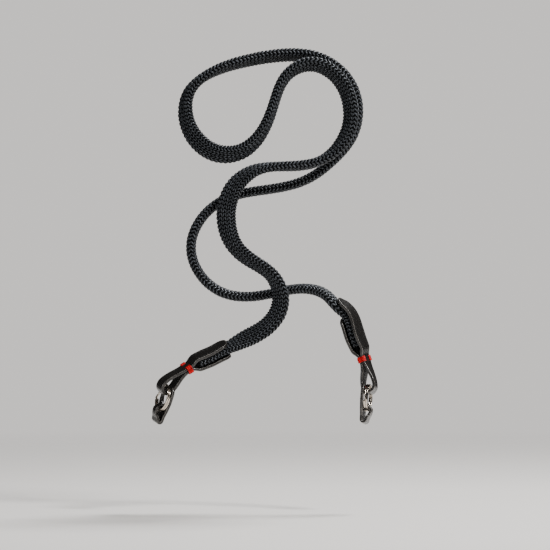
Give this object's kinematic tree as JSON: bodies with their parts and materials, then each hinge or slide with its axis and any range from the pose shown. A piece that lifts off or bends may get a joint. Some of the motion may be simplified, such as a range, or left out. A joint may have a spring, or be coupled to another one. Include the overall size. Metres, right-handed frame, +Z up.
{
  "type": "flat rope camera strap",
  "caption": "Flat braided rope strap standing in a long S, with leather ends bound in red thread, split rings and leather ring guards.",
  "frame": {"origin": "centre of the left split ring, where the real strap hangs on a lug through the ring", "axes": "+Z up; +X from the left ring to the right one; the front is seen along +Y"},
  "size_m": [0.1479, 0.0385, 0.2461],
  "materials": {
    "braided_rope": "matt braided nylon, near black with a cool sheen",
    "black_leather": "satin black leather with lighter worn cut edges",
    "red_thread": "waxed red thread, wound close",
    "ring_steel": "polished steel wire with fine wear"
  },
  "bodies": {
    "root": {"flat_rope": "braided_rope", "leather_end_left": "black_leather", "leather_end_right": "black_leather", "binding_left_front": "red_thread", "binding_left_back": "red_thread", "binding_right_front": "red_thread", "binding_right_back": "red_thread", "split_ring_left": "ring_steel", "split_ring_right": "ring_steel", "ring_guard_left": "black_leather", "ring_guard_right": "black_leather"}
  },
  "joints": []
}
